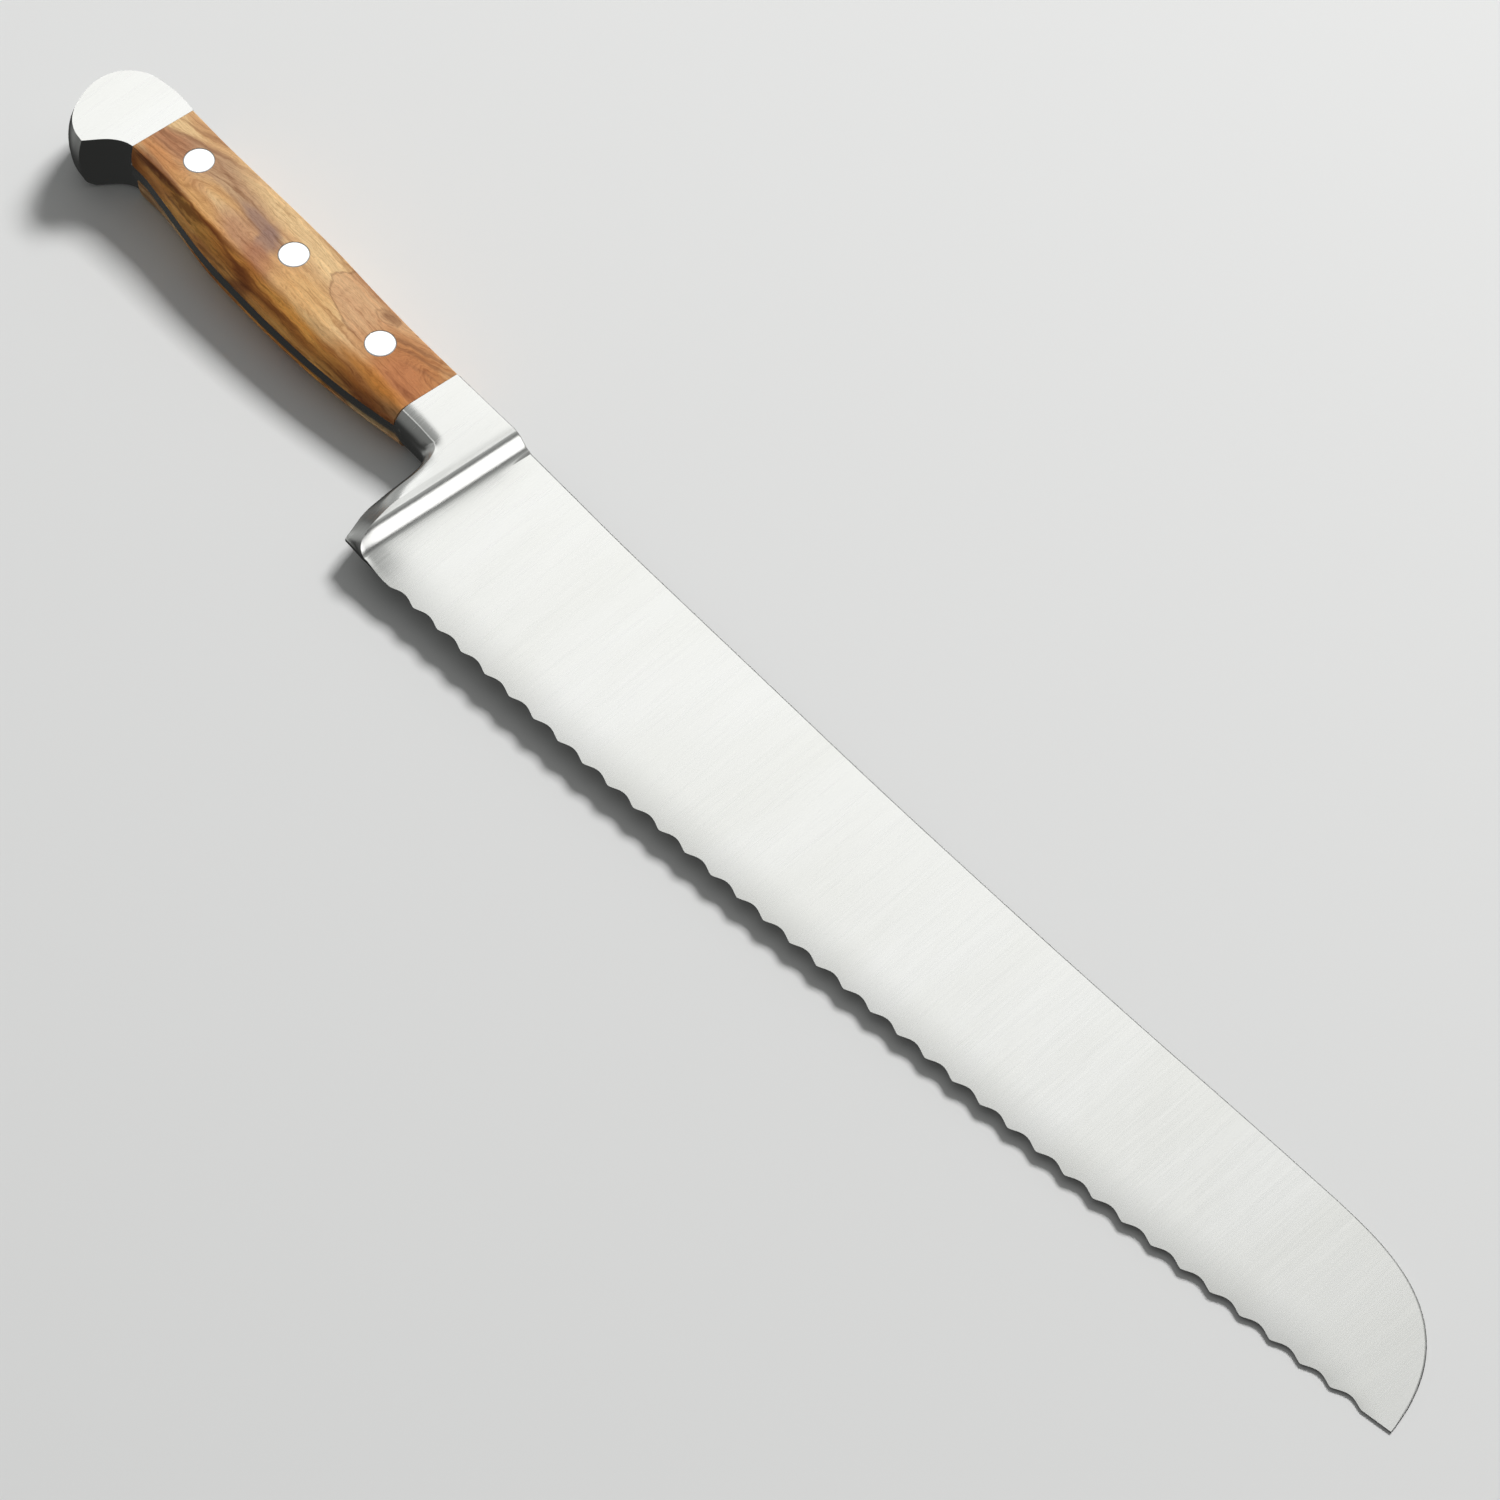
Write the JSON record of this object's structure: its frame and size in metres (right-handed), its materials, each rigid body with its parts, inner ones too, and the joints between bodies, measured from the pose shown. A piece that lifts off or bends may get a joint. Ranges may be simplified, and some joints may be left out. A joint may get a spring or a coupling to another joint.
{
  "type": "bread knife",
  "caption": "Long serrated bread knife with a forged bolster, full tang and hooked pommel, and riveted wooden handle scales, for slicing loaves.",
  "frame": {"origin": "bottom centre of the bounding box, with the knife lying flat on its left face", "axes": "+X from the pommel to the tip, +Y from the cutting edge to the spine, +Z out of the blade's right face"},
  "size_m": [0.468, 0.062, 0.017],
  "materials": {
    "forged_steel": "satin steel with fine grinding lines across the blade",
    "olive_wood": "oiled golden-brown wood with dark streaks along the handle",
    "rivet_steel": "polished steel, ground flush with the wood"
  },
  "bodies": {
    "root": {"forged_blade": "forged_steel", "right_scale": "olive_wood", "left_scale": "olive_wood", "rivet_front_tube": "rivet_steel", "rivet_front_stem": "rivet_steel", "rivet_middle_tube": "rivet_steel", "rivet_middle_stem": "rivet_steel", "rivet_rear_tube": "rivet_steel", "rivet_rear_stem": "rivet_steel"}
  },
  "joints": []
}
